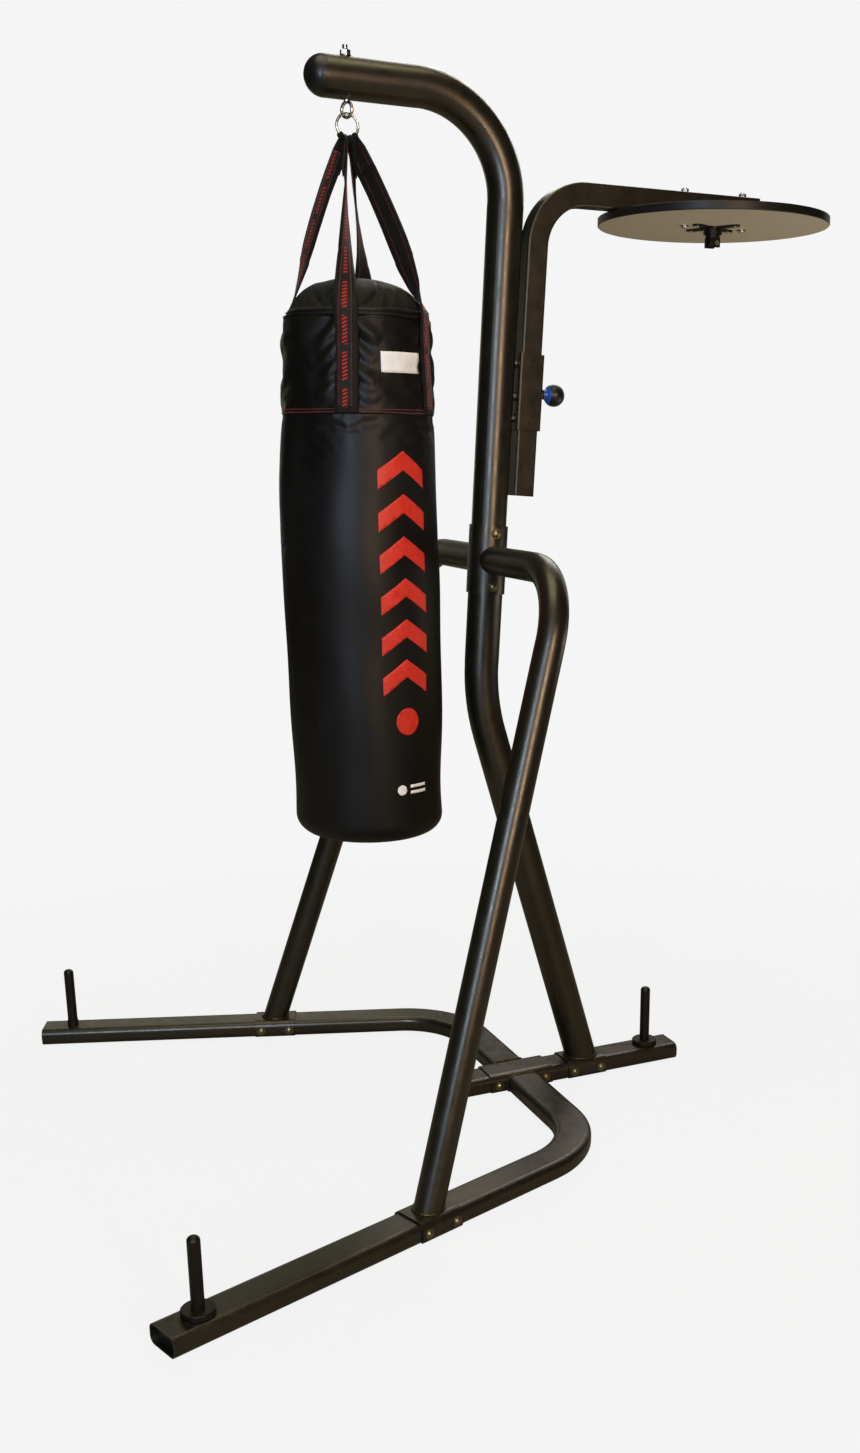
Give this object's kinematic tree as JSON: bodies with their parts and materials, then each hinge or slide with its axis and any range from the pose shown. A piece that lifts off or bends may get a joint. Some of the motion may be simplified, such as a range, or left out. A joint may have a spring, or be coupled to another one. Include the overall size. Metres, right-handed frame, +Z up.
{
  "type": "punching bag on stand",
  "caption": "heavy punching bag hung from a bent-tube floor stand with side struts, weight pegs and a height-adjustable speed bag board",
  "frame": {"origin": "on the floor, under the middle of the object's box", "axes": "+Z up, +Y from the punching bag toward the speed bag board, +X to the side; the stand is a mirror image of itself across the plane X = 0"},
  "size_m": [1.4678, 1.6154, 2.057],
  "materials": {
    "frame_steel": "satin",
    "black_steel": "satin",
    "zinc_steel": "satin",
    "black_plastic": "satin",
    "blue_plastic": "gloss",
    "black_vinyl": "satin",
    "cover_cloth": "matte",
    "webbing": "matte",
    "filling": "matte",
    "board_wood": "satin"
  },
  "bodies": {
    "stand": {"base_right_tube": "frame_steel", "base_left_tube": "frame_steel", "rear_leg": "frame_steel", "centre_bracket": "frame_steel", "centre_bolts": "zinc_steel", "right_saddle": "frame_steel", "left_saddle": "frame_steel", "rear_saddle": "frame_steel", "right_saddle_bolts": "zinc_steel", "left_saddle_bolts": "zinc_steel", "rear_saddle_bolts": "zinc_steel", "right_leg_plug": "black_plastic", "left_leg_plug": "black_plastic", "rear_leg_plug": "black_plastic", "right_peg": "black_steel", "left_peg": "black_steel", "rear_peg": "black_steel", "lower_mast": "frame_steel", "upper_mast": "frame_steel", "mast_coupling": "frame_steel", "mast_end_cap": "black_plastic", "right_clamp": "frame_steel", "left_clamp": "frame_steel", "clamp_bolts": "zinc_steel", "right_strut": "frame_steel", "left_strut": "frame_steel", "eyebolt": "zinc_steel", "eyebolt_nut": "zinc_steel", "sleeve": "frame_steel", "sleeve_liner": "black_plastic", "sleeve_bolts": "zinc_steel", "lock_bush": "zinc_steel"},
    "hook_ring": {"hook_ring": "zinc_steel"},
    "bag": {"bag_loop": "webbing", "bag_skin": "black_vinyl", "bag_filling": "filling", "bag_top_cover": "cover_cloth", "bag_top_band": "black_vinyl", "bag_rim_piping": "black_vinyl", "strap_near_right": "webbing", "strap_rear_right": "webbing", "strap_rear_left": "webbing", "strap_near_left": "webbing"},
    "platform": {"platform_beam": "frame_steel", "beam_end_cap": "black_plastic", "beam_foot_cap": "black_plastic", "platform_board": "board_wood", "board_bolts": "zinc_steel", "swivel_plate": "black_steel", "swivel_screws": "zinc_steel"},
    "swivel": {"swivel_head": "black_steel", "swivel_pin": "zinc_steel"},
    "lock": {"lock_pin": "zinc_steel", "lock_collar": "blue_plastic", "lock_knob": "black_plastic"},
    "right_collar": {"right_collar": "black_steel"},
    "rear_collar": {"rear_collar": "black_steel"}
  },
  "joints": [
    {"name": "ring_swing", "type": "hinge", "parent": "stand", "child": "hook_ring", "pos_m": [0, -0.19881, 1.9408], "axis": [1, 0, 0], "range_deg": [-35, 3]},
    {"name": "bag_swing", "type": "hinge", "parent": "hook_ring", "child": "bag", "pos_m": [0, -0.19881, 1.9069], "axis": [0, 1, 0], "range_deg": [-10, 10]},
    {"name": "platform_height", "type": "slide", "parent": "stand", "child": "platform", "axis": [0, 0.0645, 0.9979], "range_m": [-0.15, 0.1]},
    {"name": "swivel_turn", "type": "hinge", "parent": "platform", "child": "swivel", "pos_m": [0, 0.57269, 1.79], "axis": [0, 0, 1], "continuous": true},
    {"name": "lock_pull", "type": "slide", "parent": "stand", "child": "lock", "axis": [0, 0.9979, -0.0645], "range_m": [0, 0.012], "stiffness_N_per_m": 1200},
    {"name": "right_collar_lift", "type": "slide", "parent": "stand", "child": "right_collar", "axis": [0, 0, 1], "range_m": [0, 0.16]},
    {"name": "rear_collar_lift", "type": "slide", "parent": "stand", "child": "rear_collar", "axis": [0, 0, 1], "range_m": [0, 0.16]}
  ]
}
